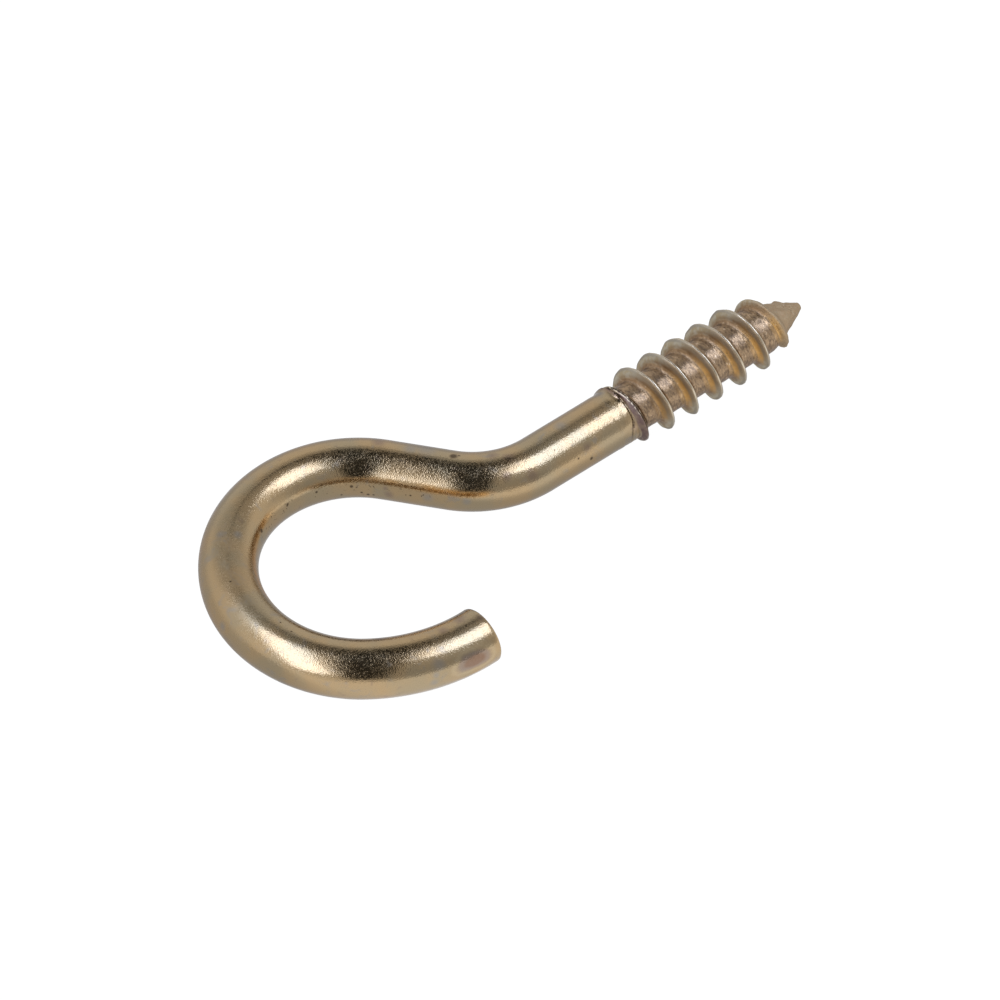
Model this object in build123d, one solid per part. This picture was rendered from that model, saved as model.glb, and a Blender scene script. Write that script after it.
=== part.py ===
# Open screw hook, bent from one length of round steel wire with a coarse wood screw rolled onto its end.
# It lies with its hook flat in the XY plane. +X runs along the shank to the point, and Y = 0, Z = 0 is
# the shank's axis. X = 0 is where the plain shank ends and the thread begins. Sizes are in millimetres.
import math
import os

from build123d import *

# The wire and its bends. Each radius is that of the wire's centreline.
WIRE_DIAMETER = 4.2
SHANK_LENGTH = 7.5
NECK_RADIUS = 7.3
NECK_ANGLE = 50.8
NECK_RUN = 4.7
CROWN_RADIUS = 8.9
CROWN_ANGLE = 81.0
BOWL_RADIUS = 9.35
BOWL_ANGLE = 113.0
LIP_RADIUS = 12.9
LIP_ANGLE = 38.7
CUT_EDGE_BREAK = 0.15

# The shallow flat that the bending jaw left on the outside of the lip, a little way in from the cut.
JAW_FLAT_DEPTH = 0.12
JAW_FLAT_LENGTH = 3.2
JAW_FLAT_SETBACK = 2.2

# The screw's blank: the step below the shank, the core and the gimlet point.
STEP_LENGTH = 0.45
CORE_DIAMETER = 3.65
SCREW_LENGTH = 16.45
POINT_LENGTH = 3.6
NOSE_RADIUS = 0.4

# The rolled ridge, in section along the axis: a thin peaked crest and two unequal flanks. The run of a
# flank is how far it leans along the axis from crest to root.
PITCH = 2.2
CREST_DIAMETER = 5.44
CREST_THICKNESS = 0.24
CREST_PEAK = 0.07
SHANK_FLANK_RUN = 0.18
POINT_FLANK_RUN = 0.3
RIDGE_BURIED = 0.4

# Where the ridge grows out of the shank, thins towards the point and dies away on it. The last three
# places are counted back from the tip.
RIDGE_START = -2.0
RIDGE_FULL = 1.8
THINNING_TO_TIP = 5.25
FALLING_TO_TIP = 2.55
BARE_TIP_LENGTH = 0.95
POINT_RIDGE_HEIGHT = 0.57
RIDGE_END_SINK = 0.1
ANGLE_AT_ORIGIN = 105.0
SECTIONS_PER_TURN = 12

WIRE_RADIUS = WIRE_DIAMETER / 2
CORE_RADIUS = CORE_DIAMETER / 2
CREST_RADIUS = CREST_DIAMETER / 2
POINT_START = SCREW_LENGTH - POINT_LENGTH
NOSE_START = SCREW_LENGTH - NOSE_RADIUS
RIDGE_THINS = SCREW_LENGTH - THINNING_TO_TIP
RIDGE_FALLS = SCREW_LENGTH - FALLING_TO_TIP
RIDGE_END = SCREW_LENGTH - BARE_TIP_LENGTH


def hook_route():
    """Centreline of the bent wire, from the end of the shank to the cut lip."""
    with BuildLine() as route:
        neck = JernArc((-SHANK_LENGTH, 0), (-1, 0), NECK_RADIUS, -NECK_ANGLE)
        run = Line(neck @ 1, neck @ 1 + NECK_RUN * (neck % 1))
        crown = JernArc(run @ 1, run % 1, CROWN_RADIUS, CROWN_ANGLE)
        bowl = JernArc(crown @ 1, crown % 1, BOWL_RADIUS, BOWL_ANGLE)
        JernArc(bowl @ 1, bowl % 1, LIP_RADIUS, LIP_ANGLE)
    return route.wire()


def bent_wire(route):
    """The round wire along its bends, with the edge of the cut end broken."""
    section = Plane(origin=route @ 0, z_dir=route % 0) * Circle(WIRE_RADIUS)
    wire = sweep(section, path=route)
    cut_face = wire.faces().sort_by_distance(route @ 1)[0]
    return chamfer(cut_face.edges(), CUT_EDGE_BREAK)


def jaw_flat(route):
    """The sliver that the flat takes off the outside of the lip: a cylinder rolled across the wire."""
    along = 1 - JAW_FLAT_SETBACK / route.length
    tangent = route % along
    outward = Vector(0, 0, 1).cross(tangent) * -1
    half = JAW_FLAT_LENGTH / 2
    deepest = route @ along + outward * (WIRE_RADIUS - JAW_FLAT_DEPTH)
    roller_radius = (half**2 + JAW_FLAT_DEPTH**2) / (2 * JAW_FLAT_DEPTH)
    axis = Plane(origin=deepest + outward * roller_radius, x_dir=tangent, z_dir=(0, 0, 1))
    return axis * Cylinder(roller_radius, 2 * WIRE_DIAMETER)


def blank_radius(x):
    """Radius of the turned blank at a place along the screw, before the ridge is rolled up."""
    if x <= 0:
        return WIRE_RADIUS
    if x < STEP_LENGTH:
        return WIRE_RADIUS + (CORE_RADIUS - WIRE_RADIUS) * x / STEP_LENGTH
    if x <= POINT_START:
        return CORE_RADIUS
    return CORE_RADIUS + (NOSE_RADIUS - CORE_RADIUS) * (x - POINT_START) / (NOSE_START - POINT_START)


def screw_blank():
    """The straight shank, the step, the core and the blunt gimlet point, turned about the axis."""
    with BuildSketch() as half:
        with BuildLine():
            Polyline(
                (-SHANK_LENGTH, 0),
                (-SHANK_LENGTH, WIRE_RADIUS),
                (0, WIRE_RADIUS),
                (STEP_LENGTH, CORE_RADIUS),
                (POINT_START, CORE_RADIUS),
                (NOSE_START, NOSE_RADIUS),
                (SCREW_LENGTH, 0),
                close=True,
            )
        make_face()
    return revolve(half.sketch, Axis.X)


def crest_radius(x):
    """Radius of the ridge's crest: it ramps up from the shank, runs level and dies on the point."""
    stations = [
        (RIDGE_START, WIRE_RADIUS - RIDGE_END_SINK),
        (RIDGE_FULL, CREST_RADIUS),
        (RIDGE_THINS, CREST_RADIUS),
        (POINT_START, CORE_RADIUS + POINT_RIDGE_HEIGHT),
        (RIDGE_FALLS, blank_radius(RIDGE_FALLS) + POINT_RIDGE_HEIGHT),
        (RIDGE_END, blank_radius(RIDGE_END) - RIDGE_END_SINK),
    ]
    for (near, near_radius), (far, far_radius) in zip(stations, stations[1:]):
        if x <= far:
            return near_radius + (far_radius - near_radius) * (x - near) / (far - near)
    return stations[-1][1]


def ridge_section(x):
    """Outline of the ridge where its crest is at x, in the plane that holds the axis there."""
    crest = crest_radius(x)
    shoulder = crest - CREST_PEAK
    base = min(blank_radius(x), crest) - min(RIDGE_BURIED, blank_radius(x) / 2)
    drop = (shoulder - base) / (CREST_RADIUS - CORE_RADIUS)
    shank_side = x - CREST_THICKNESS / 2
    point_side = x + CREST_THICKNESS / 2
    angle = math.radians(ANGLE_AT_ORIGIN + 360 * x / PITCH)
    plane = Plane(origin=(0, 0, 0), x_dir=(1, 0, 0), z_dir=(0, -math.sin(angle), math.cos(angle)))
    with BuildSketch(plane) as section:
        with BuildLine():
            Polyline(
                (x, crest),
                (shank_side, shoulder),
                (shank_side - SHANK_FLANK_RUN * drop, base),
                (point_side + POINT_FLANK_RUN * drop, base),
                (point_side, shoulder),
                close=True,
            )
        make_face()
    return section.sketch


def ridge_turns():
    """The ridge that winds right-handed round the core, as one lofted solid for each turn."""
    turn_count = math.ceil((RIDGE_END - RIDGE_START) / PITCH)
    step = (RIDGE_END - RIDGE_START) / (turn_count * SECTIONS_PER_TURN)
    turns = []
    for turn in range(turn_count):
        first = turn * SECTIONS_PER_TURN
        places = [RIDGE_START + step * (first + i) for i in range(SECTIONS_PER_TURN + 1)]
        turns.append(loft([ridge_section(x) for x in places]))
    return turns


def screw_hook():
    """The whole hook as one solid."""
    route = hook_route()
    wire = bent_wire(route) - jaw_flat(route)
    return wire.fuse(screw_blank(), *ridge_turns())


os.makedirs("parts", exist_ok=True)
export_step(screw_hook(), "parts/screw_hook.step")
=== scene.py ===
"""Looks of an open screw hook: one bent wire with a rolled wood-screw thread, in worn yellow zinc."""
import math

import bmesh
import bpy
from mathutils import Matrix, Vector, noise


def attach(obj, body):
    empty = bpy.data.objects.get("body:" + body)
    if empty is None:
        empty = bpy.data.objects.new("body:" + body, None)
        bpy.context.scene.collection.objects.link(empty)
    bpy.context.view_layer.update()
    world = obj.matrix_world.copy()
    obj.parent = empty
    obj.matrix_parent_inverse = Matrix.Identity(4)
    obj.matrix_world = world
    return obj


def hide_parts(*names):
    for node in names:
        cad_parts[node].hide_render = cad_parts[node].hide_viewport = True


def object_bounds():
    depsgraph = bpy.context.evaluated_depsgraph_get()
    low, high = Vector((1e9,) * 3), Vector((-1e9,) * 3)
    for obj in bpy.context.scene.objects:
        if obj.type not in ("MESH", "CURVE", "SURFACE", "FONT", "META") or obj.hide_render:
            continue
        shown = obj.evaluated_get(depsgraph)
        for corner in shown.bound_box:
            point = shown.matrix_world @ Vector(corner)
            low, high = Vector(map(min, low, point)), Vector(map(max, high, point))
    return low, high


MM = 0.001

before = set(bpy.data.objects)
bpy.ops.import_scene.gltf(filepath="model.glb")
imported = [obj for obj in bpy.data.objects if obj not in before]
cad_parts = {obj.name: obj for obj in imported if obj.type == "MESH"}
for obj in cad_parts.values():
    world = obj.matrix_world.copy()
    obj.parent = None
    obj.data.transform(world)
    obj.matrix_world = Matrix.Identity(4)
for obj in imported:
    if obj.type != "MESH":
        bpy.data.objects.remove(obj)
cad_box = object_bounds()

# The wire and its bends, in metres and degrees.
WIRE_RADIUS = 2.1 * MM
SHANK_LENGTH = 7.5 * MM
NECK_RADIUS, NECK_ANGLE = 7.3 * MM, 50.8
NECK_RUN = 4.7 * MM
CROWN_RADIUS, CROWN_ANGLE = 8.9 * MM, 81.0
BOWL_RADIUS, BOWL_ANGLE = 9.35 * MM, 113.0
LIP_RADIUS, LIP_ANGLE = 12.9 * MM, 38.7
CUT_EDGE_BREAK = 0.16 * MM
RING_SPACING = 0.35 * MM

# The shallow flat left by the bending jaw on the outside of the lip.
JAW_FLAT_DEPTH = 0.12 * MM
JAW_FLAT_LENGTH = 3.2 * MM
JAW_FLAT_SETBACK = 2.2 * MM

# The screw.
CORE_RADIUS = 1.825 * MM
CREST_RADIUS = 2.72 * MM
RIDGE_HEIGHT = CREST_RADIUS - CORE_RADIUS
PITCH = 2.2 * MM
STEP_LENGTH = 0.45 * MM
SCREW_LENGTH = 16.45 * MM
POINT_LENGTH = 3.6 * MM
POINT_BELLY = 0.09 * MM
TIP_RADIUS = 0.3 * MM
TIP_ROUNDING = 0.12 * MM
RIDGE_START = -2.0 * MM
RIDGE_FULL = 1.8 * MM
THINNING_TO_TIP = 5.25 * MM
FALLING_TO_TIP = 2.55 * MM
BARE_TIP_LENGTH = 0.95 * MM
POINT_RIDGE_HEIGHT = 0.57 * MM
RIDGE_END_SINK = 0.1 * MM
CREST_AT_TOP = 1.56 * MM
STEPS_PER_TURN = 96
TIP_STEPS = 6
SCREW_JOIN = -3.3 * MM

POINT_START = SCREW_LENGTH - POINT_LENGTH
TIP_START = SCREW_LENGTH - TIP_ROUNDING
RIDGE_THINS = SCREW_LENGTH - THINNING_TO_TIP
RIDGE_FALLS = SCREW_LENGTH - FALLING_TO_TIP
RIDGE_END = SCREW_LENGTH - BARE_TIP_LENGTH

# Half of the ridge's outline on each side of its crest: distance from the crest in millimetres, and share
# of its height.
SHANK_FLANK = (
    (0.60, 0.0),
    (0.50, 0.03),
    (0.41, 0.09),
    (0.34, 0.20),
    (0.28, 0.38),
    (0.21, 0.63),
    (0.145, 0.85),
    (0.105, 0.94),
    (0.07, 0.975),
    (0.035, 0.992),
)
POINT_FLANK = (
    (0.035, 0.992),
    (0.07, 0.975),
    (0.105, 0.94),
    (0.145, 0.85),
    (0.22, 0.65),
    (0.31, 0.40),
    (0.39, 0.20),
    (0.45, 0.09),
    (0.53, 0.03),
    (0.62, 0.0),
)
ROOT_DIVISIONS = 7

# The first ridge is a collar of lapped metal: a step marks its shank side and a dark seam its crest. Both
# face the same way round the screw. Extra rings are cut there, for their shapes.
COLLAR_FACES = math.radians(124)
COLLAR_START = -0.75 * MM
COLLAR_LENGTH = 1.25 * MM
COLLAR_CUTS = 26
STEP_PLACE = -0.25 * MM
STEP_DRIFT = -0.30 * MM
STEP_HALF_WIDTH = 0.07 * MM
STEP_RADIUS = 2.0 * MM
SEAM_OFFSET = 0.10 * MM
SEAM_HALF_WIDTH = 0.06 * MM
SEAM_DEPTH = 0.14 * MM

# Unevenness that the rolling left, as (height, size of the lumps, seed). The heights of the last two are
# shares of the step's and the seam's depth.
BROAD_CREST_LUMPS = (0.04 * MM, 0.9 * MM, 3.0)
SMALL_CREST_LUMPS = (0.025 * MM, 0.35 * MM, 5.0)
ROOT_LUMPS = (0.022 * MM, 0.45 * MM, 7.0)
POINT_LUMPS = (0.11 * MM, 0.6 * MM, 15.0)
CREST_WAVES = (0.05 * MM, 1.1 * MM, 9.0)
STEP_LUMPS = (0.3, 0.5 * MM, 11.0)
SEAM_LUMPS = (0.5, 0.3 * MM, 13.0)

# The camera, as the hook lay in front of it.
CAMERA_ELEVATION = 49.02
CAMERA_TURN = 38.82
CAMERA_DISTANCE = 651.5 * MM
CAMERA_LENS = 334.9
CAMERA_AIM = (-2.62 * MM, -2.49 * MM)
SENSOR_WIDTH = 36.0

# The two lamps, in degrees of longitude and latitude about the camera's up direction, as seen from the
# hook, with longitude 0 at the camera.
SOFTBOX_DISTANCE = 1.0
SOFTBOX_STRENGTH = 3.2
SOFTBOX_COLOUR = (0.84, 1.0, 1.38)
LEFT_SOFTBOX = {"longitude": -33.5, "half_width": 12.0, "low": -27.0, "high": 50.0}
RIGHT_SOFTBOX = {"longitude": 33.0, "half_width": 14.5, "low": 14.0, "high": 52.0}

FLOOR_SIZE = 6.0
FLOOR_GAP = 0.02 * MM

# Colours of the plain wire.
ZINC = (0.350, 0.264, 0.160)
ZINC_OLIVE = (0.315, 0.258, 0.168)
ZINC_WARM = (0.400, 0.275, 0.145)
ZINC_BLUE = (0.250, 0.235, 0.215)
ZINC_PURPLE = (0.205, 0.145, 0.120)
AMBER_LINE = (0.420, 0.225, 0.075)
# Brown of the pits, also used as painted shade in the collar's step and seam.
PITS_AND_PAINTED_SHADE = (0.060, 0.040, 0.026)
STAIN_RED = (0.215, 0.130, 0.085)
STAIN_VIOLET = (0.235, 0.185, 0.165)
STAIN_PALE = (0.420, 0.335, 0.215)

# Colours of the thread.
# The amber of the flanks' foot, as its lit copy; AMBER_SHADE is its shaded copy: painted light and shade.
AMBER_LIT = (0.740, 0.430, 0.135)
AMBER_SHADE = (0.250, 0.145, 0.065)
FLANK_OLIVE = (0.500, 0.450, 0.345)
FLANK_TAN = (0.430, 0.345, 0.220)
# Painted shade: brown that darkens the flanks on the side towards the camera.
FLANK_PAINTED_SHADE = (0.290, 0.200, 0.115)
# Painted shade: a darker rim below the crest on the side away from the camera.
BRIM_PAINTED_SHADE = (0.340, 0.300, 0.235)
POINT_TAN = (0.400, 0.305, 0.195)
# Painted highlight: the light line along the thread's crest.
CREST_PAINTED_HIGHLIGHT = (0.520, 0.450, 0.350)
ROOT_LIGHT = (0.390, 0.270, 0.165)
ROOT_DARK = (0.170, 0.120, 0.080)
# Painted highlight for glints on the roots and at the collar's seam.
PAINTED_GLINT = (0.780, 0.660, 0.500)
COLLAR_PURPLE = (0.165, 0.110, 0.100)

# The oval stain on the lip.
STAIN_X, STAIN_Z = -22.45 * MM, 0.55 * MM
STAIN_HALF_LENGTH = 1.55 * MM
STAIN_HALF_WIDTH = 0.85 * MM

GRAIN_SIZE = 0.070 * MM
CRYSTAL_SIZE = 0.085 * MM
BUMP_DEPTH = 0.0036 * MM
METAL_TINT = (0.75, 0.75, 0.78, 1.0)

# Marks on the zinc, as (x, y, z, radius) in millimetres.
DARK_PITS = (
    (-19.11, 6.30, 0.37, 0.13),
    (-18.57, 5.86, -0.27, 0.11),
    (-18.20, 5.58, -0.49, 0.12),
    (-17.94, 5.30, -0.47, 0.10),
    (-19.70, 6.69, -0.45, 0.09),
    (-21.38, 7.36, 0.46, 0.10),
    (-23.77, 7.57, 0.67, 0.12),
    (-24.15, 7.35, 0.30, 0.10),
    (-16.29, 3.22, 0.14, 0.09),
    (-4.32, -2.09, 0.21, 0.15),
    (-5.37, -1.93, 0.82, 0.09),
    (-6.73, -0.98, 1.86, 0.06),
    (-12.71, 2.89, 2.05, 0.32),
    (-12.35, 2.73, 2.07, 0.12),
    (-31.46, -1.54, 2.04, 0.08),
    (-31.40, -2.68, 2.09, 0.08),
    (-31.89, 3.52, 2.08, 0.09),
    (-26.79, 6.63, 0.94, 0.16),
)
PURPLE_SMUDGES = (
    (-17.30, 4.40, -0.13, 0.42),
    (-17.40, 4.63, 0.42, 0.22),
    (-9.14, -1.48, 1.32, 0.55),
    (-10.79, -0.64, 1.65, 0.40),
    (-4.42, -1.75, 1.15, 0.40),
    (-9.83, 0.34, 2.10, 0.50),
    (-10.55, 1.23, 2.04, 0.45),
    (-20.39, -9.82, 2.10, 0.45),
    (-15.97, 7.20, 1.98, 0.60),
    (-23.25, -9.10, 2.07, 0.45),
    (-21.60, -8.90, 1.94, 0.55),
    (-26.82, -6.74, 1.69, 0.45),
    (-0.03, -2.04, 0.51, 0.60),
)
BLUE_SMUDGES = (
    (-15.52, 2.28, 0.21, 0.50),
    (-13.67, 0.24, 0.28, 0.40),
    (-5.10, 0.41, 2.06, 0.55),
    (-13.80, 4.64, 1.97, 0.85),
    (-14.60, 5.30, 1.97, 0.60),
    (-29.78, 7.38, 2.02, 0.42),
    (-28.83, 6.63, 2.01, 0.40),
    (-34.08, 1.65, 0.61, 0.40),
    (-24.89, -10.81, 1.25, 0.55),
    (-25.51, -11.04, 0.01, 0.35),
    (-25.30, -10.95, 0.60, 0.30),
    (-0.90, 1.30, 1.80, 0.50),
)


def ahead(heading):
    """One step along a heading in the XY plane."""
    return Vector((math.cos(heading), math.sin(heading), 0))


def follow_bend(place, heading, radius, angle):
    """A bend's centre, and the place and heading where it ends; a positive angle turns left."""
    side = math.copysign(1, angle)
    centre = place + side * radius * Vector((-math.sin(heading), math.cos(heading), 0))
    turn = math.radians(angle)
    end = centre + Matrix.Rotation(turn, 3, "Z") @ (place - centre)
    return centre, end, heading + turn


def bend_centres():
    """The centres of the neck, crown, bowl and lip, and the direction of the cut from the lip's centre."""
    place, heading = Vector((-SHANK_LENGTH, 0, 0)), math.pi
    neck, place, heading = follow_bend(place, heading, NECK_RADIUS, -NECK_ANGLE)
    place += NECK_RUN * ahead(heading)
    crown, place, heading = follow_bend(place, heading, CROWN_RADIUS, CROWN_ANGLE)
    bowl, place, heading = follow_bend(place, heading, BOWL_RADIUS, BOWL_ANGLE)
    lip, place, heading = follow_bend(place, heading, LIP_RADIUS, LIP_ANGLE)
    return neck, crown, bowl, lip, heading - math.pi / 2


NECK_CENTRE, CROWN_CENTRE, BOWL_CENTRE, LIP_CENTRE, CUT_DIRECTION = bend_centres()


def camera_axes():
    """The camera's right, up and back directions in the hook's frame."""
    tilt = Matrix.Rotation(math.radians(90 - CAMERA_ELEVATION), 3, "X")
    turn = Matrix.Rotation(math.radians(-CAMERA_TURN), 3, "Z")
    axes = turn @ tilt
    return axes.col[0].copy(), axes.col[1].copy(), axes.col[2].copy()


def add_camera():
    """A long lens looking down on the hook; it aims past the start of the neck's bend."""
    right, up, back = camera_axes()
    bend_start = Vector((-SHANK_LENGTH, 0, 0))
    place = bend_start + CAMERA_AIM[0] * right + CAMERA_AIM[1] * up + CAMERA_DISTANCE * back
    bpy.ops.object.camera_add(location=place)
    camera = bpy.context.object
    camera.name = "camera"
    turned = Matrix((right, up, back)).transposed().to_4x4()
    camera.matrix_world = Matrix.Translation(place) @ turned
    camera.data.lens = CAMERA_LENS
    camera.data.sensor_width = SENSOR_WIDTH
    camera.data.clip_start = 0.01
    camera.data.clip_end = 50
    bpy.context.scene.camera = camera


class Field:
    """One shader output, for use in Python arithmetic such as 1 - a * b."""

    def __init__(self, nodes, socket):
        self.nodes = nodes
        self.socket = socket

    def math(self, operation, *values):
        return self.nodes.add("ShaderNodeMath", {"operation": operation}, [self, *values])

    def __add__(self, other):
        return self.math("ADD", other)

    def __radd__(self, other):
        return self.math("ADD", other)

    def __sub__(self, other):
        return self.math("SUBTRACT", other)

    def __rsub__(self, other):
        return self.nodes.add("ShaderNodeMath", {"operation": "SUBTRACT"}, [other, self])

    def __mul__(self, other):
        return self.math("MULTIPLY", other)

    def __rmul__(self, other):
        return self.math("MULTIPLY", other)

    def __truediv__(self, other):
        return self.math("DIVIDE", other)

    def __pow__(self, other):
        return self.math("POWER", other)

    def ramp(self, low, high, start=0.0, end=1.0):
        """A smooth step from start to end as this field goes from low to high."""
        return self.nodes.add(
            "ShaderNodeMapRange",
            {"interpolation_type": "SMOOTHSTEP", "clamp": True},
            {"Value": self, "From Min": low, "From Max": high, "To Min": start, "To Max": end},
        )

    def band(self, low, high, soft):
        """One between low and high, falling to zero over soft on each side."""
        return self.ramp(low - soft, low + soft) * self.ramp(high - soft, high + soft, 1.0, 0.0)


class Nodes:
    """The node tree of one material or world."""

    def __init__(self, tree):
        self.tree = tree
        tree.nodes.clear()

    def add(self, kind, settings=None, values=None, output=0):
        """Adds a node, makes its settings, then sets or links its sockets, and returns one output."""
        node = self.tree.nodes.new(kind)
        for name, value in (settings or {}).items():
            setattr(node, name, value)
        pairs = values.items() if isinstance(values, dict) else enumerate(values or [])
        for key, value in pairs:
            if isinstance(value, Field):
                self.tree.links.new(value.socket, node.inputs[key])
            else:
                node.inputs[key].default_value = value
        return Field(self, node.outputs[output]) if len(node.outputs) else node

    def vector(self, operation, *values, output=0):
        """Maths on vectors."""
        return self.add("ShaderNodeVectorMath", {"operation": operation}, values, output)

    def dot(self, vector, axis):
        """How far a vector goes along a fixed axis."""
        return self.vector("DOT_PRODUCT", vector, tuple(axis), output=1)

    def length(self, vector):
        return self.vector("LENGTH", vector, output=1)

    def split(self, vector):
        """The x, y and z of a vector."""
        first = self.add("ShaderNodeSeparateXYZ", values=[vector])
        return [Field(self, socket) for socket in first.socket.node.outputs]

    def mix(self, factor, first, second):
        """Mixes two colours, each a field or a plain colour of three numbers."""
        colours = [colour if isinstance(colour, Field) else (*colour, 1.0) for colour in (first, second)]
        values = {0: factor, 6: colours[0], 7: colours[1]}
        return self.add("ShaderNodeMix", {"data_type": "RGBA"}, values, output=2)

    def noise(self, vector, size, detail=2.0, roughness=0.5, seed=0.0, distortion=0.0):
        """Cloudy noise from 0 to 1 whose lumps are about size metres across."""
        return self.add(
            "ShaderNodeTexNoise",
            {"noise_dimensions": "4D"},
            {
                "Vector": vector,
                "W": seed,
                "Scale": 1.0 / size,
                "Detail": detail,
                "Roughness": roughness,
                "Distortion": distortion,
            },
        )


def add_softbox(name, longitude, half_width, low, high):
    """A tall rectangular lamp beside the camera, standing along the camera's up direction."""
    right, up, back = camera_axes()
    turn = math.radians(longitude)
    towards = right * math.sin(turn) + back * math.cos(turn)
    bottom = SOFTBOX_DISTANCE * math.tan(math.radians(low))
    top = SOFTBOX_DISTANCE * math.tan(math.radians(high))
    width = 2 * SOFTBOX_DISTANCE * math.tan(math.radians(half_width))
    place = towards * SOFTBOX_DISTANCE + up * (bottom + top) / 2
    bpy.ops.object.light_add(type="AREA", location=place)
    lamp = bpy.context.object
    lamp.name = name
    lamp.data.shape = "RECTANGLE"
    lamp.data.size = width
    lamp.data.size_y = top - bottom
    lamp.data.color = SOFTBOX_COLOUR
    lamp.data.energy = SOFTBOX_STRENGTH * math.pi * width * (top - bottom)
    side = up.cross(towards)
    lamp.matrix_world = Matrix.Translation(place) @ Matrix((side, up, towards)).transposed().to_4x4()
    lamp.visible_camera = False


def light_the_studio():
    """White surroundings, with the dark gap between the softboxes where the camera stands."""
    world = bpy.data.worlds.new("studio_world")
    bpy.context.scene.world = world
    world.use_nodes = True
    nodes = Nodes(world.node_tree)
    direction = nodes.add("ShaderNodeTexCoord", output=0)
    right, up, back = camera_axes()
    longitude = nodes.dot(direction, right).math("ARCTAN2", nodes.dot(direction, back)) * math.degrees(1)
    latitude = nodes.dot(direction, up).math("ARCSINE") * math.degrees(1)
    gap = longitude.band(-14.5, 14.0, 4.0) * latitude.band(-40.0, 80.0, 4.0)
    right_side = longitude.band(12.0, 70.0, 12.0) * latitude.band(-50.0, 20.0, 8.0)
    right_dimming = right_side * latitude.ramp(5.0, -15.0, 0.27, 0.42)
    ceiling = latitude.ramp(34.0, 57.0) * longitude.band(-110.0, 110.0, 30.0)
    left_glow = longitude.band(-75.0, -45.0, 15.0) * latitude.band(-50.0, 10.0, 20.0)
    reflected = (1 + 0.2 * left_glow) * (1 - 0.45 * ceiling) * (1 - right_dimming) * (1 - 0.96 * gap)
    camera_ray = nodes.add("ShaderNodeLightPath", output=0)
    level = camera_ray + (1 - camera_ray) * reflected
    background = nodes.add("ShaderNodeBackground", values={"Color": (1, 1, 1, 1), "Strength": level})
    nodes.add("ShaderNodeOutputWorld", values={"Surface": background})
    add_softbox("left_softbox", **LEFT_SOFTBOX)
    add_softbox("right_softbox", **RIGHT_SOFTBOX)


def white_sweep():
    """White to the eye, with a trace of the hook's shadow; in reflections its glow is painted brighter
    towards -Y, a painted pool of light.
    """
    material = bpy.data.materials.new("white_sweep")
    material.use_nodes = True
    nodes = Nodes(material.node_tree)
    camera_ray = nodes.add("ShaderNodeLightPath", output=0)
    glossy_ray = nodes.add("ShaderNodeLightPath", output=3)
    seen = camera_ray.math("MAXIMUM", glossy_ray)
    place = nodes.add("ShaderNodeTexCoord", output=3)
    # Painted pool of light: the floor's glow seen in reflections is brighter towards -Y.
    painted_pool = nodes.dot(place, (0, -1, 0)).ramp(3 * MM, 11 * MM)
    mirrored = 0.80 + 0.60 * painted_pool
    glow_level = camera_ray * 1.10 + (1 - camera_ray) * mirrored
    matt = nodes.add("ShaderNodeBsdfDiffuse", values={"Color": (0.5, 0.5, 0.5, 1)})
    glow = nodes.add("ShaderNodeEmission", values={"Color": (1, 1, 1, 1), "Strength": glow_level})
    shader = nodes.add("ShaderNodeMixShader", values=[seen * 0.90, matt, glow])
    nodes.add("ShaderNodeOutputMaterial", values={"Surface": shader})
    return material


def add_floor():
    """The sweep that the hook lies on."""
    bpy.ops.mesh.primitive_plane_add(size=FLOOR_SIZE, location=(0, 0, cad_box[0][2] - FLOOR_GAP))
    floor = bpy.context.object
    floor.name = "floor"
    floor.data.materials.append(white_sweep())


def edit(piece):
    """Makes one object the only selected one and opens it for editing with nothing selected."""
    bpy.ops.object.select_all(action="DESELECT")
    piece.select_set(True)
    bpy.context.view_layer.objects.active = piece
    bpy.ops.object.mode_set(mode="EDIT")
    bpy.ops.mesh.select_mode(type="VERT")
    bpy.ops.mesh.select_all(action="DESELECT")


def leave_edit():
    bpy.ops.object.mode_set(mode="OBJECT")


def select_ring(piece, x):
    """Selects the open edge that lies in the plane at x."""
    bpy.ops.mesh.select_mode(type="EDGE")
    mesh = bmesh.from_edit_mesh(piece.data)
    for edge in mesh.edges:
        in_plane = all(abs(vertex.co.x - x) < 0.001 * MM for vertex in edge.verts)
        edge.select_set(edge.is_boundary and in_plane)
    mesh.select_flush_mode()
    bmesh.update_edit_mesh(piece.data)


def thread_outline():
    """One pitch of the thread's outline in the XY plane, from a crest to the next, as (x, radius)."""
    after = [(0.0, 1.0)] + [(run * MM, share) for run, share in POINT_FLANK]
    before = [(PITCH - run * MM, share) for run, share in SHANK_FLANK] + [(PITCH, 1.0)]
    root_start, root_end = after[-1][0], before[0][0]
    root = [
        (root_start + (root_end - root_start) * i / ROOT_DIVISIONS, 0.0) for i in range(1, ROOT_DIVISIONS)
    ]
    return [(x, CORE_RADIUS + share * RIDGE_HEIGHT) for x, share in after + root + before]


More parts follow.
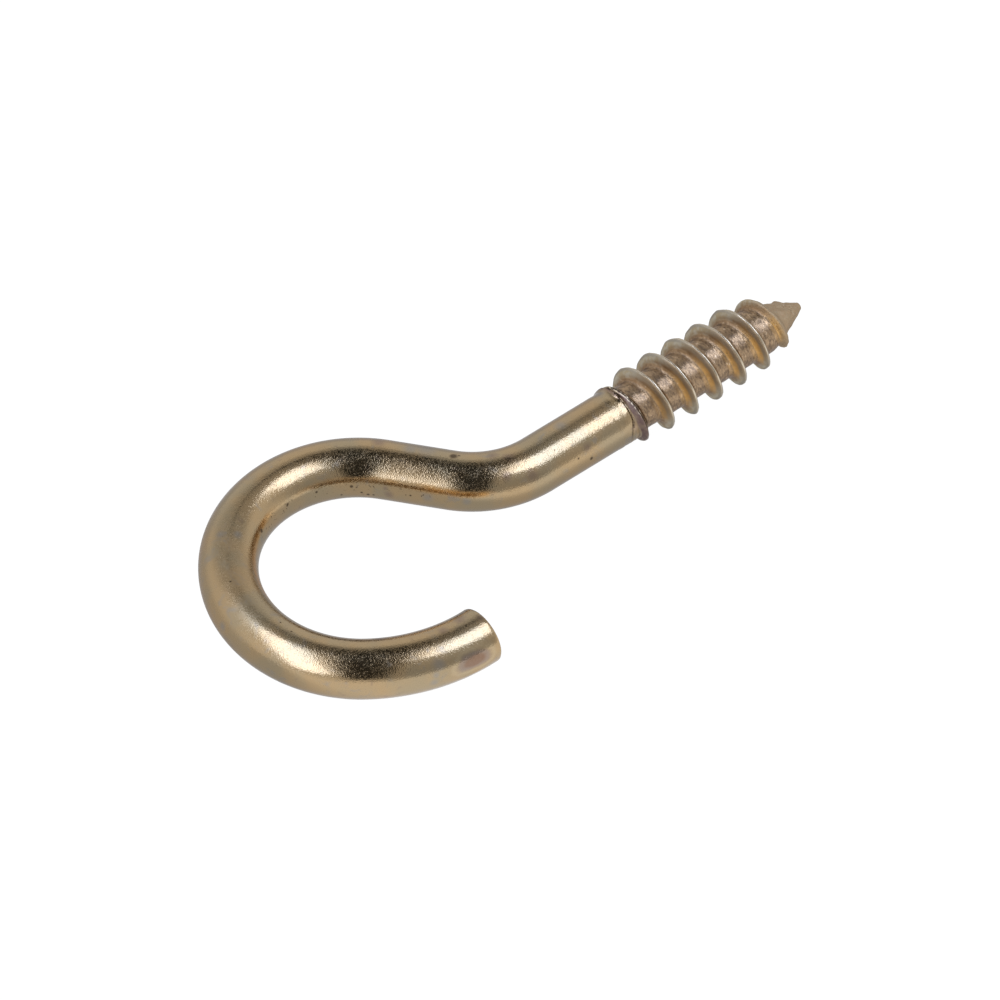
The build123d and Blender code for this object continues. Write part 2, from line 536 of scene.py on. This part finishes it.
def roll_thread():
    """A thread of full depth all along, made by turning one pitch of its outline up a screw."""
    outline = thread_outline()
    turns = math.ceil((SCREW_LENGTH - SCREW_JOIN) / PITCH) + 2
    first_crest = CREST_AT_TOP - PITCH * (math.ceil((CREST_AT_TOP - SCREW_JOIN) / PITCH) + 1)
    bpy.ops.object.select_all(action="DESELECT")
    bpy.ops.mesh.primitive_plane_add(size=MM)
    screw = bpy.context.object
    screw.name = "zinc_screw_hook"
    edit(screw)
    bpy.ops.mesh.select_all(action="SELECT")
    bpy.ops.mesh.merge(type="CENTER")
    bpy.ops.transform.translate(value=(first_crest + outline[0][0], outline[0][1], 0))
    for (x, radius), (next_x, next_radius) in zip(outline, outline[1:]):
        step = (next_x - x, next_radius - radius, 0)
        bpy.ops.mesh.extrude_region_move(TRANSFORM_OT_translate={"value": step})
    leave_edit()
    wind = screw.modifiers.new("wind", "SCREW")
    wind.axis = "X"
    wind.angle = math.tau
    wind.screw_offset = PITCH
    wind.iterations = turns
    wind.steps = STEPS_PER_TURN
    wind.render_steps = STEPS_PER_TURN
    bpy.ops.object.modifier_apply(modifier="wind")
    edit(screw)
    bpy.ops.mesh.select_all(action="SELECT")
    bpy.ops.mesh.remove_doubles(threshold=0.002 * MM)
    leave_edit()
    return screw


def cut_square(x, **keep):
    """Cuts everything that is open for editing with the plane at x."""
    bpy.ops.mesh.select_all(action="SELECT")
    bpy.ops.mesh.bisect(plane_co=(x, 0, 0), plane_no=(1, 0, 0), threshold=0.0001 * MM, **keep)


def trim_screw(screw):
    """Cuts the screw off where the plain shank goes on and where its tip begins, and rings the collar."""
    edit(screw)
    cut_square(SCREW_JOIN, clear_inner=True)
    cut_square(TIP_START, clear_outer=True)
    for cut in range(COLLAR_CUTS):
        cut_square(COLLAR_START + COLLAR_LENGTH * cut / COLLAR_CUTS)
    leave_edit()


def clamp(value):
    """The value, kept between 0 and 1."""
    return min(max(value, 0.0), 1.0)


def smooth_step(start, end, value):
    """Zero before start, one past end, and an even slope between; start may be the larger."""
    share = clamp((value - start) / (end - start))
    return share * share * (3 - 2 * share)


def hump(value, middle, half_width):
    """One at the middle, falling smoothly to nothing on both sides."""
    return math.exp(-(((value - middle) / half_width) ** 2))


def lumps(place, height, size, seed):
    """Smooth random unevenness up to about height both ways, with lumps of a given size."""
    return height * noise.noise(place / size + Vector((seed, 0.37 * seed, -0.61 * seed)))


def blank_radius(x):
    """Radius of the turned blank at a place along the screw, up to where its tip is rounded off."""
    if x <= 0:
        return WIRE_RADIUS
    if x < STEP_LENGTH:
        return WIRE_RADIUS + (CORE_RADIUS - WIRE_RADIUS) * x / STEP_LENGTH
    if x <= POINT_START:
        return CORE_RADIUS
    along = (x - POINT_START) / (TIP_START - POINT_START)
    return CORE_RADIUS + (TIP_RADIUS - CORE_RADIUS) * along + POINT_BELLY * 4 * along * (1 - along)


def crest_radius(x):
    """Radius of the ridge's crest along the screw."""
    stations = (
        (RIDGE_START, WIRE_RADIUS - RIDGE_END_SINK),
        (RIDGE_FULL, CREST_RADIUS),
        (RIDGE_THINS, CREST_RADIUS),
        (POINT_START, CORE_RADIUS + POINT_RIDGE_HEIGHT),
        (RIDGE_FALLS, blank_radius(RIDGE_FALLS) + POINT_RIDGE_HEIGHT),
        (RIDGE_END, blank_radius(RIDGE_END) - RIDGE_END_SINK),
    )
    for (near, near_radius), (far, far_radius) in zip(stations, stations[1:]):
        if near <= x <= far:
            return near_radius + (far_radius - near_radius) * (x - near) / (far - near)
    return 0.0


def rolled_radius(place, proud):
    """Radius of the rolled screw, lumps and all, at a point that is proud of the blank by a share."""
    base = blank_radius(place.x)
    rough = clamp((place.x - RIDGE_START) / MM) * clamp((TIP_START - place.x) / MM)
    on_point = smooth_step(POINT_START, POINT_START + MM, place.x) * rough
    crest_lumps = lumps(place, *BROAD_CREST_LUMPS) + lumps(place, *SMALL_CREST_LUMPS)
    root_lumps = rough * (1 - proud) * lumps(place, *ROOT_LUMPS)
    return base + proud * (RIDGE_HEIGHT + crest_lumps) + root_lumps + on_point * lumps(place, *POINT_LUMPS)


def mark_collar(place, radius):
    """The radius with the collar's step and seam pressed in."""
    turned = math.remainder(math.atan2(place.z, place.y) - COLLAR_FACES, math.tau)
    from_crest = place.x - CREST_AT_TOP + PITCH * (1 - (turned + COLLAR_FACES) / math.tau)
    step_place = STEP_PLACE + STEP_DRIFT * smooth_step(math.radians(15), math.radians(60), turned)
    step = hump(place.x, step_place, STEP_HALF_WIDTH)
    step *= smooth_step(math.radians(100), math.radians(60), abs(turned))
    radius += step * (STEP_RADIUS - radius) * (0.8 + lumps(place, *STEP_LUMPS))
    seam = hump(from_crest, SEAM_OFFSET, SEAM_HALF_WIDTH)
    seam *= smooth_step(math.radians(65), math.radians(45), abs(turned + math.radians(5)))
    return radius - seam * SEAM_DEPTH * (0.8 + lumps(place, *SEAM_LUMPS))


def shape_screw(screw):
    """Moves each point of the full thread to its real radius, and lets the crest waver along the axis."""
    for vertex in screw.data.vertices:
        place = vertex.co.copy()
        radius = math.hypot(place.y, place.z)
        share = clamp((radius - CORE_RADIUS) / RIDGE_HEIGHT)
        proud = share * max(crest_radius(place.x) - blank_radius(place.x), 0.0) / RIDGE_HEIGHT
        scale = mark_collar(place, rolled_radius(place, proud)) / radius
        vertex.co = (place.x + proud * lumps(place, *CREST_WAVES), place.y * scale, place.z * scale)


def round_tip(screw):
    """Draws the ring at the end of the point out and in to a blunt rounded tip, and closes it."""
    edit(screw)
    select_ring(screw, TIP_START)
    shrunk, reached = 1.0, 0.0
    for step in range(1, TIP_STEPS + 1):
        lean = math.radians(80 * step / TIP_STEPS)
        advance = TIP_ROUNDING * math.sin(lean) - reached
        bpy.ops.mesh.extrude_region_move(TRANSFORM_OT_translate={"value": (advance, 0, 0)})
        shrink = math.cos(lean) / shrunk
        reached += advance
        middle = (TIP_START + reached, 0, 0)
        bpy.ops.transform.resize(value=(1, shrink, shrink), center_override=middle)
        shrunk = math.cos(lean)
    bpy.ops.mesh.edge_face_add()
    leave_edit()


def extrude_run(place, heading, length):
    """Extrudes the selected ring straight on in even steps, and returns where the run ends."""
    count = max(1, round(length / RING_SPACING))
    step = ahead(heading) * (length / count)
    for _ in range(count):
        bpy.ops.mesh.extrude_region_move(TRANSFORM_OT_translate={"value": step})
    return place + length * ahead(heading)


def spin_bend(place, heading, radius, angle):
    """Spins the selected ring round a bend, and returns where the bend ends and its heading there."""
    centre, end, end_heading = follow_bend(place, heading, radius, angle)
    turn = math.radians(angle)
    steps = max(2, round(abs(turn) * (radius + WIRE_RADIUS) / RING_SPACING))
    bpy.ops.mesh.spin(steps=steps, angle=-turn, center=centre, axis=(0, 0, 1))
    return end, end_heading


def bend_wire(hook):
    """Draws the open ring of the shank out along the wire's runs and bends, and closes the cut end."""
    edit(hook)
    select_ring(hook, SCREW_JOIN)
    place, heading = Vector((SCREW_JOIN, 0, 0)), math.pi
    place = extrude_run(place, heading, SHANK_LENGTH + SCREW_JOIN)
    place, heading = spin_bend(place, heading, NECK_RADIUS, -NECK_ANGLE)
    place = extrude_run(place, heading, NECK_RUN)
    place, heading = spin_bend(place, heading, CROWN_RADIUS, CROWN_ANGLE)
    place, heading = spin_bend(place, heading, BOWL_RADIUS, BOWL_ANGLE)
    place, heading = spin_bend(place, heading, LIP_RADIUS, LIP_ANGLE)
    bpy.ops.mesh.edge_face_add()
    bpy.ops.mesh.bevel(offset=CUT_EDGE_BREAK, segments=3, affect="EDGES")
    bpy.ops.mesh.select_all(action="SELECT")
    bpy.ops.mesh.normals_make_consistent(inside=False)
    leave_edit()


def press_jaw_flat(hook):
    """Pushes the points of the lip's outside that the jaw touched out on to its roller."""
    outward = ahead(CUT_DIRECTION - JAW_FLAT_SETBACK / LIP_RADIUS)
    half = JAW_FLAT_LENGTH / 2
    roller_radius = (half**2 + JAW_FLAT_DEPTH**2) / (2 * JAW_FLAT_DEPTH)
    deepest = LIP_CENTRE + outward * (LIP_RADIUS + WIRE_RADIUS - JAW_FLAT_DEPTH)
    axis = deepest + outward * roller_radius
    for vertex in hook.data.vertices:
        away = Vector((vertex.co.x - axis.x, vertex.co.y - axis.y, 0))
        if away.length < roller_radius:
            pushed = away.normalized() * roller_radius
            vertex.co.x = axis.x + pushed.x
            vertex.co.y = axis.y + pushed.y


class Surface:
    """Where a point of the zinc is on the wire and on the screw, and the noises that its finishes share."""

    def __init__(self, nodes):
        self.nodes = nodes
        self.place = place = nodes.add("ShaderNodeTexCoord", output=3)
        self.x, self.y, self.z = x, y, z = nodes.split(place)

        # The screw: distance from its axis, turns round it, and phase from one crest to the next.
        self.radius = radius = (y * y + z * z).math("SQRT")
        towards = y * math.cos(COLLAR_FACES) + z * math.sin(COLLAR_FACES)
        across = z * math.cos(COLLAR_FACES) - y * math.sin(COLLAR_FACES)
        self.turned = across.math("ARCTAN2", towards) / math.tau
        self.turns = (x - CREST_AT_TOP) / PITCH - self.turned - COLLAR_FACES / math.tau
        self.phase = self.turns.math("FRACT")
        self.front = self.turned.band(-0.13, 0.17, 0.07)

        # Its parts: the roots, the flanks with the point, and the upper ridge with its brim and crest.
        self.on_screw = x.ramp(-0.35 * MM, -0.05 * MM)
        self.off_point = x.ramp(12.9 * MM, 13.6 * MM, 1.0, 0.0)
        proud = radius.ramp(1.95 * MM, 2.15 * MM)
        self.threaded = self.on_screw * self.off_point
        self.root = self.threaded * (1 - proud)
        self.flank = self.on_screw * proud.math("MAXIMUM", 1 - self.off_point)
        upper_ridge = self.threaded * radius.ramp(2.40 * MM, 2.55 * MM)
        self.crest = (self.phase.ramp(0.968, 0.980) + self.phase.ramp(0.035, 0.020)) * upper_ridge
        self.brim = (self.phase.ramp(0.915, 0.945) + self.phase.ramp(0.10, 0.06)) * upper_ridge

        self.cloud = nodes.noise(place, 2.6 * MM, detail=3.0, seed=1.0)
        self.patch = nodes.noise(place, 1.1 * MM, detail=4.0, roughness=0.6, seed=2.0, distortion=0.6)
        self.blotch = nodes.noise(place, 0.55 * MM, detail=3.0, roughness=0.6, seed=3.0)
        rolled = nodes.vector("MULTIPLY", place, (2.2, 1.0, 1.0))
        self.fine = nodes.noise(rolled, 0.30 * MM, detail=4.0, roughness=0.65, seed=4.0, distortion=0.5)
        self.ragged = 0.55 + 0.9 * self.blotch

    def bend_angle(self, centre, radius):
        """Degrees round the wire's own section on a bend: 0 outside the bend, 90 on top, 180 inside."""
        flat = self.nodes.vector("MULTIPLY_ADD", self.place, (1, 1, 0), (-centre.x, -centre.y, 0))
        return self.z.math("ARCTAN2", self.nodes.length(flat) - radius) * math.degrees(1)

    def spots(self, marks, core=0.1):
        """One mask for a list of marks, each a ball round a point of the surface with a ragged edge."""
        total = None
        for x, y, z, radius in marks:
            away = self.nodes.vector("DISTANCE", self.place, (x * MM, y * MM, z * MM), output=1)
            mark = (away * self.ragged).ramp(radius * core * MM, radius * 1.3 * MM, 1.0, 0.0)
            total = mark if total is None else total.math("MAXIMUM", mark)
        return total


def wire_colour(surface):
    """The plain wire: olive to warm yellow, clouded with blue and purple."""
    mix = surface.nodes.mix
    colour = mix(surface.cloud.ramp(0.36, 0.62), ZINC_OLIVE, ZINC_WARM)
    colour = mix(0.45, colour, ZINC)
    colour = mix(surface.patch.ramp(0.56, 0.72) * 0.45, colour, ZINC_BLUE)
    colour = mix(surface.patch.ramp(0.40, 0.25) * 0.5, colour, ZINC_PURPLE)
    colour = mix(surface.spots(BLUE_SMUDGES) * 0.6, colour, ZINC_BLUE)
    return mix(surface.spots(PURPLE_SMUDGES) * 0.55, colour, ZINC_PURPLE)


def add_amber_lines(surface, colour):
    """Amber along the inside of the bowl, and below the crown and the neck."""
    x, y = surface.x, surface.y
    in_bowl = surface.bend_angle(BOWL_CENTRE, BOWL_RADIUS).band(143.0, 156.0, 4.0)
    in_bowl = in_bowl * x.ramp(-24.5 * MM, -26.5 * MM) * y.ramp(-7 * MM, -5 * MM)
    in_crown = surface.bend_angle(CROWN_CENTRE, CROWN_RADIUS).band(148.0, 156.0, 5.0)
    in_crown = in_crown * x.band(-22.5 * MM, -16.0 * MM, 1.0 * MM) * y.ramp(1 * MM, 3 * MM)
    in_neck = surface.bend_angle(NECK_CENTRE, NECK_RADIUS).band(19.0, 31.0, 6.0)
    in_neck = in_neck * x.band(-16.0 * MM, -12.2 * MM, 0.8 * MM) * y.ramp(4 * MM, 2 * MM)
    line = (in_bowl + 0.7 * in_crown + 1.3 * in_neck) * surface.blotch.ramp(0.25, 0.65, 0.35, 0.85)
    return surface.nodes.mix(line, colour, AMBER_LINE)


def add_lip_stain(surface, colour):
    """The oval stain on the jaw flat near the cut: a pale rim, then violet, then a red-brown heart."""
    nodes = surface.nodes
    stretch = (1 / STAIN_HALF_LENGTH, 0.0, 1 / STAIN_HALF_WIDTH)
    shift = (-STAIN_X / STAIN_HALF_LENGTH, 0.0, -STAIN_Z / STAIN_HALF_WIDTH)
    reach = nodes.length(nodes.vector("MULTIPLY_ADD", surface.place, stretch, shift))
    reach = reach * (0.6 + 0.4 * surface.patch + 0.4 * surface.blotch)
    outside = surface.y.ramp(-9.5 * MM, -10.3 * MM)
    colour = nodes.mix(outside * reach.band(0.90, 1.15, 0.18) * 0.6, colour, STAIN_PALE)
    colour = nodes.mix(outside * reach.ramp(1.0, 0.66) * 0.7, colour, STAIN_VIOLET)
    return nodes.mix(outside * reach.ramp(0.72, 0.40) * (0.5 + 0.6 * surface.fine), colour, STAIN_RED)


def add_thread(surface, colour):
    """Brown scored roots, olive flanks with amber at their foot, and a painted highlight along the crest;
    the flanks, their brim and the amber are painted lighter or darker by side, as painted light and shade.
    """
    mix = surface.nodes.mix
    blotch, fine, phase, turned = surface.blotch, surface.fine, surface.phase, surface.turned
    on_point = 1 - surface.off_point
    flank_colour = mix(blotch.ramp(0.38, 0.62), FLANK_OLIVE, FLANK_TAN)
    # Painted shade: flanks on the side towards the camera are darkened to brown.
    flank_colour = mix(surface.front * 0.8, flank_colour, FLANK_PAINTED_SHADE)
    flank_colour = mix(on_point, flank_colour, mix(fine.ramp(0.3, 0.6), ROOT_LIGHT, POINT_TAN))
    colour = mix(surface.flank, colour, flank_colour)
    colour = mix(surface.root, colour, mix(fine.ramp(0.34, 0.62), ROOT_DARK, ROOT_LIGHT))

    # The amber at the flanks' foot is stronger on the side towards the camera, and is painted as a lit copy
    # there and towards the point and as a shaded copy elsewhere: painted light and shade.
    foot = phase.band(0.80, 0.97, 0.03) * surface.radius.ramp(2.42 * MM, 2.16 * MM)
    foot = foot * surface.turns.ramp(-1.0, -0.9) * (0.6 + 0.4 * surface.front)
    amber = (foot + 0.3 * phase.band(0.66, 0.78, 0.05)) * blotch.ramp(0.25, 0.6, 0.5, 1.0)
    lit = turned.ramp(-0.10, 0.06) * turned.ramp(0.26, 0.16) * surface.x.ramp(1.5 * MM, 5.5 * MM, 0.45, 1.0)
    colour = mix(surface.threaded * amber * 0.9, colour, mix(lit, AMBER_SHADE, AMBER_LIT))
    # Painted shade: the brim below the crest is darkened on the side away from the camera.
    colour = mix(surface.brim * (1 - surface.front), colour, BRIM_PAINTED_SHADE)
    # Painted highlight: a light line along the crest.
    return mix(surface.crest * 0.9, colour, CREST_PAINTED_HIGHLIGHT)


def add_collar(surface, colour):
    """Purple-brown on the lapped first ridge, with painted shade in its step and seam, painted glints in
    the seam and a painted highlight along the seam's edge.
    """
    mix = surface.nodes.mix
    blotch, fine, turned = surface.blotch, surface.fine, surface.turned
    collar = surface.x.band(-0.5 * MM, 0.7 * MM, 0.2 * MM) * surface.radius.ramp(2.10 * MM, 2.16 * MM)
    collar = collar * surface.turns.ramp(-0.9, -1.0)
    step_place = surface.x - STEP_DRIFT * turned.ramp(0.04, 0.17)
    step = step_place.band(-0.31 * MM, -0.19 * MM, 0.05 * MM) * turned.band(-0.2, 0.22, 0.05)
    from_crest = (surface.turns + 1) * PITCH
    seam = from_crest.band(0.03 * MM, 0.19 * MM, 0.03 * MM) * turned.band(-0.19, 0.13, 0.03)
    seam_edge = from_crest.band(-0.07 * MM, 0.03 * MM, 0.02 * MM) * turned.band(-0.19, 0.06, 0.03)
    colour = mix(collar * blotch.ramp(0.3, 0.6, 0.5, 0.95), colour, COLLAR_PURPLE)
    # Painted shade in the step's groove.
    colour = mix(step * blotch.ramp(0.35, 0.6, 0.15, 0.6), colour, PITS_AND_PAINTED_SHADE)
    # Painted shade in the seam, broken by painted glints.
    colour = mix(seam * 0.85, colour, mix(fine.ramp(0.56, 0.60), PITS_AND_PAINTED_SHADE, PAINTED_GLINT))
    # Painted highlight along the seam's edge.
    return mix(seam_edge * fine.ramp(0.42, 0.56), colour, PAINTED_GLINT)


def add_pits(surface, pits, colour):
    """Dark pits, speckle below the crown, the roots' nicks, and painted glints on the roots."""
    nodes = surface.nodes
    speckle = nodes.noise(surface.place, 0.17 * MM, detail=1.0, seed=6.0).ramp(0.62, 0.70)
    speckle = speckle * surface.patch.ramp(0.42, 0.55)
    speckle = speckle * surface.bend_angle(CROWN_CENTRE, CROWN_RADIUS).band(150.0, 200.0, 6.0)
    speckle = speckle * surface.x.band(-27.0 * MM, -15.0 * MM, 1.0 * MM) * surface.y.ramp(0, 2 * MM)
    nicks = surface.root * surface.fine.ramp(0.33, 0.28)
    # Painted highlights: glints on the roots.
    colour = nodes.mix(surface.root * surface.fine.ramp(0.63, 0.68) * 0.6, colour, PAINTED_GLINT)
    return nodes.mix((pits + nicks + 0.7 * speckle).math("MINIMUM", 0.85), colour, PITS_AND_PAINTED_SHADE)


def zinc_roughness(surface):
    """Bright on the wire with a sparkle of crystals, duller on the flanks, and burnished on the crest."""
    nodes = surface.nodes
    crystals = nodes.add(
        "ShaderNodeTexVoronoi", values={"Vector": surface.place, "Scale": 1 / CRYSTAL_SIZE}, output=1
    )
    sparkle = nodes.dot(crystals, (1, 0, 0)) ** 4 * (1 - surface.on_screw)
    dull_side = surface.x.ramp(-27.0 * MM, -30.0 * MM) * surface.y.ramp(-2.5 * MM, 0.5 * MM)
    wire = 0.11 + 0.14 * dull_side + 0.10 * surface.patch.ramp(0.4, 0.75) + 0.15 * sparkle
    foot = surface.phase.band(0.76, 1.00, 0.03) * surface.off_point
    return wire + surface.flank * (0.44 - 0.36 * surface.crest) + surface.root * (0.19 + 0.19 * foot)


def zinc_bump(surface, pits):
    """The grain of the zinc, its pits, and the scoring of the roots and the point."""
    nodes = surface.nodes
    grain = nodes.noise(surface.place, GRAIN_SIZE, detail=0.0, seed=5.0).ramp(0.42, 0.80)
    scoring = surface.fine * (surface.root * 9.0 + (1 - surface.off_point) * 7.0)
    height = grain * (1 - 0.5 * surface.on_screw) + scoring - pits
    return nodes.add("ShaderNodeBump", values={"Strength": 1.0, "Distance": BUMP_DEPTH, "Height": height})


def zinc_material():
    """Yellow zinc on steel: grained and smudged on the wire, burnished and amber on the thread."""
    material = bpy.data.materials.new("yellow_zinc")
    material.use_nodes = True
    nodes = Nodes(material.node_tree)
    surface = Surface(nodes)
    pits = surface.spots(DARK_PITS, core=0.3)
    colour = wire_colour(surface)
    colour = add_amber_lines(surface, colour)
    colour = add_lip_stain(surface, colour)
    colour = add_thread(surface, colour)
    colour = add_collar(surface, colour)
    colour = add_pits(surface, pits, colour)
    shader = nodes.add(
        "ShaderNodeBsdfPrincipled",
        values={
            "Base Color": colour,
            "Metallic": 1.0,
            "Specular Tint": METAL_TINT,
            "Roughness": zinc_roughness(surface),
            "Normal": zinc_bump(surface, pits),
        },
    )
    nodes.add("ShaderNodeOutputMaterial", values={"Surface": shader})
    return material


def make_hook():
    """The whole hook: the screw is rolled first, and the wire is drawn out and bent from its shank end."""
    hook = roll_thread()
    trim_screw(hook)
    shape_screw(hook)
    round_tip(hook)
    bend_wire(hook)
    press_jaw_flat(hook)
    bpy.ops.object.select_all(action="DESELECT")
    hook.select_set(True)
    bpy.context.view_layer.objects.active = hook
    bpy.ops.object.shade_smooth_by_angle(angle=math.radians(40))
    hook.data.materials.append(zinc_material())
    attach(hook, "root")
    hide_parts("screw_hook")


bpy.context.scene.view_settings.view_transform = "Standard"
add_camera()
light_the_studio()
add_floor()
make_hook()
